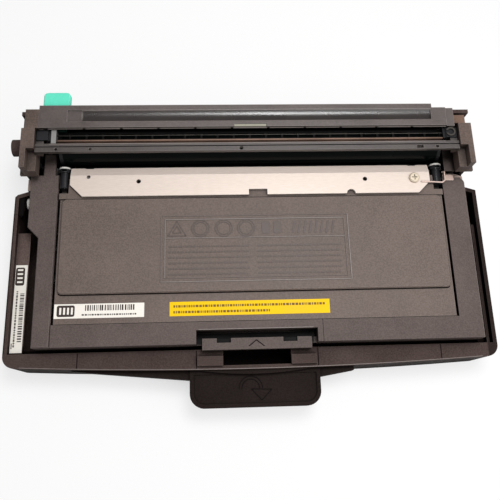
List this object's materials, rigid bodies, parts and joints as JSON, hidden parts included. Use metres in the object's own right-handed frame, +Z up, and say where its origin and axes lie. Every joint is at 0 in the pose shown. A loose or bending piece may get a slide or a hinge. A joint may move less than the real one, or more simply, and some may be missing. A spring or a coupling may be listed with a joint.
{
  "type": "toner cartridge",
  "caption": "Toner cartridge docked in its drum unit: a flat hopper with a metal blade plate, a rear block with charge slot and drum, and a front handle tongue.",
  "frame": {"origin": "on the flat underside, at the middle of the tray's width, ahead of the rear block", "axes": "+X along the rollers to the right, +Y to the rear wall, +Z up"},
  "size_m": [0.2922, 0.188, 0.06],
  "materials": {
    "frame_plastic": "dark moulded plastic, fine grain",
    "case_plastic": "warm dark grey plastic, fine grain",
    "black_plastic": "smooth black acetal",
    "white_plastic": "natural white acetal",
    "green_plastic": "mint green moulded plastic",
    "plate_steel": "zinc plated sheet",
    "shaft_steel": "ground steel",
    "dark_steel": "etched sheet",
    "grey_plastic": "light grey acetal",
    "pale_plastic": "pale greenish plastic",
    "spring_steel": "spring wire",
    "contact_metal": "pressed contact strip",
    "drum_coating": "photoconductor on an aluminium tube",
    "roller_rubber": "conductive rubber",
    "roller_foam": "conductive foam",
    "brush_fabric": "cut pile strip",
    "film": "clear film",
    "label_white": "printed label",
    "label_yellow": "printed label"
  },
  "bodies": {
    "frame": {"drum_frame": "frame_plastic", "cap_left": "frame_plastic", "cap_right": "frame_plastic", "charge_housing": "frame_plastic", "charge_shield": "contact_metal", "charge_grid": "dark_steel", "charge_wire": "spring_steel", "wire_anchor_left": "black_plastic", "wire_anchor_right": "black_plastic", "wire_spring": "spring_steel", "grid_clip": "pale_plastic", "drum_bush_left": "frame_plastic", "drum_bush_right": "frame_plastic", "transfer_bearing_left": "black_plastic", "transfer_bearing_right": "black_plastic", "transfer_springs": "spring_steel", "cleaning_brush": "brush_fabric", "hopper_case": "case_plastic", "fill_cap": "case_plastic", "hopper_lid": "case_plastic", "gear_cover": "case_plastic", "right_end_cover": "case_plastic", "front_grip": "case_plastic", "blade_plate": "plate_steel", "doctor_blade": "shaft_steel", "blade_screw": "plate_steel", "roller_guide_left": "black_plastic", "roller_guide_right": "black_plastic", "guide_caps": "white_plastic", "cover_screws": "shaft_steel", "bias_contact": "contact_metal", "bias_wire": "contact_metal", "side_contact": "contact_metal", "high_voltage_contact": "contact_metal", "cartridge_label": "label_white", "caution_label": "label_yellow", "drum_label": "label_white"},
    "drum": {"drum_tube": "drum_coating", "drum_flange_left": "black_plastic", "drum_flange_right": "black_plastic", "drum_shaft": "shaft_steel", "drum_gear": "white_plastic"},
    "transfer": {"transfer_roller": "roller_foam", "transfer_shaft": "shaft_steel", "transfer_gear": "white_plastic"},
    "developer": {"developer_roller": "roller_rubber", "developer_shaft": "shaft_steel", "developer_gear": "white_plastic"},
    "supply": {"supply_roller": "roller_foam", "supply_shaft": "shaft_steel", "supply_gear": "white_plastic"},
    "coupling": {"drive_coupling": "white_plastic"},
    "idler": {"idler_gear": "white_plastic"},
    "agitator": {"agitator_shaft": "white_plastic", "agitator_film": "film", "agitator_gear": "white_plastic"},
    "cleaner": {"wire_cleaner": "green_plastic", "cleaner_carriage": "grey_plastic"}
  },
  "joints": [
    {"name": "drum_spin", "type": "hinge", "parent": "frame", "child": "drum", "pos_m": [0, 0.0615, 0.039], "axis": [1, 0, 0], "continuous": true},
    {"name": "transfer_spin", "type": "hinge", "parent": "frame", "child": "transfer", "pos_m": [0, 0.0615, 0.0201], "axis": [1, 0, 0], "continuous": true},
    {"name": "developer_spin", "type": "hinge", "parent": "frame", "child": "developer", "pos_m": [0, 0.04426, 0.0315], "axis": [1, 0, 0], "continuous": true},
    {"name": "supply_spin", "type": "hinge", "parent": "frame", "child": "supply", "pos_m": [0, 0.0431, 0.01825], "axis": [1, 0, 0], "continuous": true},
    {"name": "coupling_spin", "type": "hinge", "parent": "frame", "child": "coupling", "pos_m": [0, 0.02907, 0.02615], "axis": [1, 0, 0], "continuous": true},
    {"name": "idler_spin", "type": "hinge", "parent": "frame", "child": "idler", "pos_m": [0, 0.00948, 0.0267], "axis": [1, 0, 0], "continuous": true},
    {"name": "agitator_spin", "type": "hinge", "parent": "frame", "child": "agitator", "pos_m": [0, -0.01, 0.021], "axis": [1, 0, 0], "continuous": true},
    {"name": "cleaner_slide", "type": "slide", "parent": "frame", "child": "cleaner", "axis": [1, 0, 0], "range_m": [0, 0.222]}
  ],
  "couplings": [
    {"joint": "transfer_spin", "follows": "drum_spin", "ratio": -1.7},
    {"joint": "coupling_spin", "follows": "developer_spin", "ratio": -0.53333},
    {"joint": "supply_spin", "follows": "developer_spin", "ratio": 1},
    {"joint": "idler_spin", "follows": "developer_spin", "ratio": 0.61538},
    {"joint": "agitator_spin", "follows": "developer_spin", "ratio": -0.5}
  ]
}
